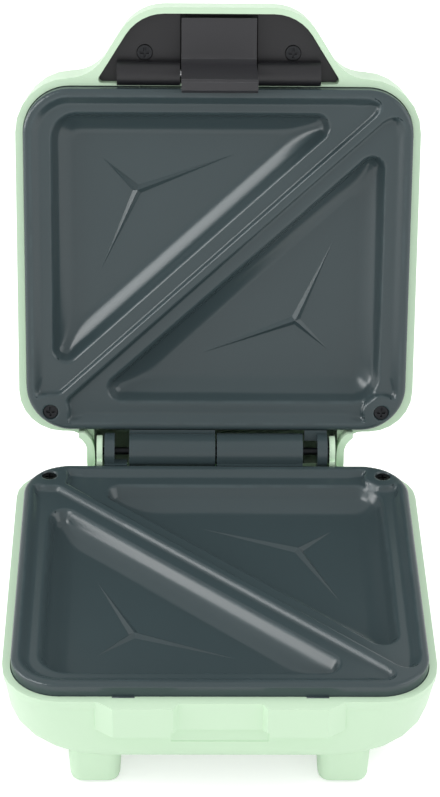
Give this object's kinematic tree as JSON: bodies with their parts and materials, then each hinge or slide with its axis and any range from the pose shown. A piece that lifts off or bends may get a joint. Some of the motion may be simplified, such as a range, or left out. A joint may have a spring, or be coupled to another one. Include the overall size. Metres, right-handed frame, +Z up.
{
  "type": "sandwich toaster",
  "caption": "Compact hinged sandwich toaster, shown open: pale green casings, dark non-stick plates with triangular pockets, lid handle with sprung latch, and feet.",
  "frame": {"origin": "on the table under the middle of the open toaster's outer box", "axes": "+Z up, +Y from the front catch towards the hinge, +X to the right as seen from the front"},
  "size_m": [0.1564, 0.2266, 0.2179],
  "materials": {
    "casing_green": "pale mint green moulded plastic, satin",
    "plate_coating": "die cast aluminium with a dark grey non-stick coating, satin",
    "black_plastic": "black heat resistant moulded plastic, satin",
    "black_screw": "black oxide steel",
    "foot_rubber": "grey rubber, matt",
    "element_sheath": "steel sheath, heat browned",
    "bright_steel": "zinc plated steel",
    "reflector_sheet": "thin aluminised sheet",
    "ceramic": "cream ceramic, matt",
    "brass_screw": "brass",
    "lead_sleeve": "white glass fibre sleeve",
    "lamp_glass": "neon lamp glass",
    "red_lens": "clear red plastic",
    "green_lens": "clear green plastic"
  },
  "bodies": {
    "base": {"base_casing": "casing_green", "foot_pads": "foot_rubber", "base_plate": "plate_coating", "base_plate_screws": "black_screw", "base_element": "element_sheath", "base_element_clips": "bright_steel", "base_clip_screws": "bright_steel", "base_reflector": "reflector_sheet", "thermal_fuse": "ceramic", "fuse_clip": "bright_steel", "fuse_clip_screw": "bright_steel", "terminal_block": "ceramic", "terminal_screws": "brass_screw", "block_screws": "bright_steel", "base_wiring": "lead_sleeve", "cord_bush": "black_plastic", "hinge_pin": "bright_steel"},
    "lid": {"lid_casing": "casing_green", "lid_plate": "plate_coating", "lid_plate_screws": "black_screw", "lid_element": "element_sheath", "lid_element_clips": "bright_steel", "lid_clip_screws": "bright_steel", "lid_reflector": "reflector_sheet", "thermostat": "ceramic", "thermostat_screws": "bright_steel", "lid_wiring": "lead_sleeve", "indicator_lamps": "lamp_glass", "power_lens": "red_lens", "ready_lens": "green_lens", "handle_cover": "black_plastic", "handle_screws": "black_screw", "latch_pin": "bright_steel"},
    "latch": {"latch": "black_plastic", "latch_spring": "bright_steel"}
  },
  "joints": [
    {"name": "lid_hinge", "type": "hinge", "parent": "base", "child": "lid", "pos_m": [0, 0.03995, 0.0485], "axis": [1, 0, 0], "range_deg": [0, 104.5]},
    {"name": "latch_pivot", "type": "hinge", "parent": "lid", "child": "latch", "pos_m": [0, 0.08434, 0.19299], "axis": [-1, 0, 0], "range_deg": [0, 9], "stiffness_Nm_per_rad": 0.05, "springref_deg": -28.65}
  ]
}
